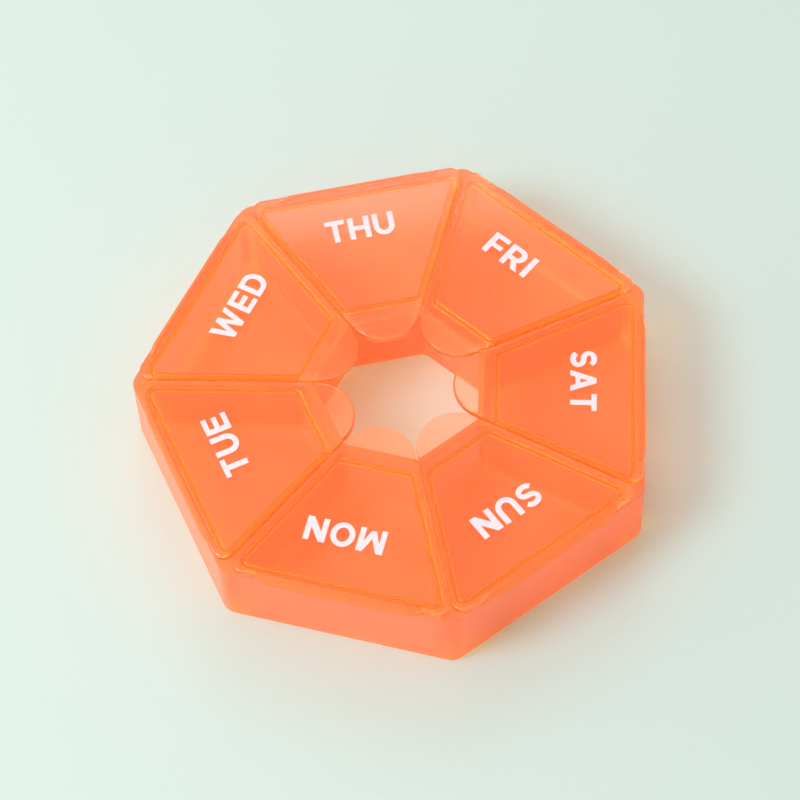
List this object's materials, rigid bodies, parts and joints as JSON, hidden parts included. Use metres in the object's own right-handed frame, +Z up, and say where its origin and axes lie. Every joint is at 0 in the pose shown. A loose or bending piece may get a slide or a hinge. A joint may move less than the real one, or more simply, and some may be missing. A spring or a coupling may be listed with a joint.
{
  "type": "weekly pill box",
  "caption": "Ring-shaped weekly pill box of translucent orange plastic: a polygonal tray of compartments round a central hole, each closed by a hinged lid with a thumb tab.",
  "frame": {"origin": "middle of the footprint's bounding box, on the surface that the box stands on; the central hole's axis is 2.2 mm from it towards -Y", "axes": "+Z up through the lids; Monday's flat side faces -Y and the corner between Thursday and Friday points to +Y"},
  "size_m": [0.0992, 0.0972, 0.018],
  "materials": {
    "tray_plastic": "translucent orange, smooth moulded",
    "lid_plastic": "translucent orange, polished",
    "web_plastic": "translucent orange, thin and flexible"
  },
  "bodies": {
    "tray": {"tray": "tray_plastic"},
    "lid_monday": {"lid_monday": "lid_plastic", "hinge_web_monday": "web_plastic"},
    "lid_sunday": {"lid_sunday": "lid_plastic", "hinge_web_sunday": "web_plastic"},
    "lid_saturday": {"lid_saturday": "lid_plastic", "hinge_web_saturday": "web_plastic"},
    "lid_friday": {"lid_friday": "lid_plastic", "hinge_web_friday": "web_plastic"},
    "lid_thursday": {"lid_thursday": "lid_plastic", "hinge_web_thursday": "web_plastic"},
    "lid_wednesday": {"lid_wednesday": "lid_plastic", "hinge_web_wednesday": "web_plastic"},
    "lid_tuesday": {"lid_tuesday": "lid_plastic", "hinge_web_tuesday": "web_plastic"}
  },
  "joints": [
    {"name": "monday_hinge", "type": "hinge", "parent": "tray", "child": "lid_monday", "pos_m": [0, -0.04863, 0.01655], "axis": [1, 0, 0], "range_deg": [0, 180]},
    {"name": "sunday_hinge", "type": "hinge", "parent": "tray", "child": "lid_sunday", "pos_m": [0.0363, -0.03115, 0.01655], "axis": [0.6235, 0.7818, 0], "range_deg": [0, 180]},
    {"name": "saturday_hinge", "type": "hinge", "parent": "tray", "child": "lid_saturday", "pos_m": [0.04527, 0.00813, 0.01655], "axis": [-0.2225, 0.9749, 0], "range_deg": [0, 180]},
    {"name": "friday_hinge", "type": "hinge", "parent": "tray", "child": "lid_friday", "pos_m": [0.02014, 0.03963, 0.01655], "axis": [-0.901, 0.4339, 0], "range_deg": [0, 180]},
    {"name": "thursday_hinge", "type": "hinge", "parent": "tray", "child": "lid_thursday", "pos_m": [-0.02014, 0.03963, 0.01655], "axis": [-0.901, -0.4339, 0], "range_deg": [0, 180]},
    {"name": "wednesday_hinge", "type": "hinge", "parent": "tray", "child": "lid_wednesday", "pos_m": [-0.04527, 0.00813, 0.01655], "axis": [-0.2225, -0.9749, 0], "range_deg": [0, 180]},
    {"name": "tuesday_hinge", "type": "hinge", "parent": "tray", "child": "lid_tuesday", "pos_m": [-0.0363, -0.03115, 0.01655], "axis": [0.6235, -0.7818, 0], "range_deg": [0, 180]}
  ]
}
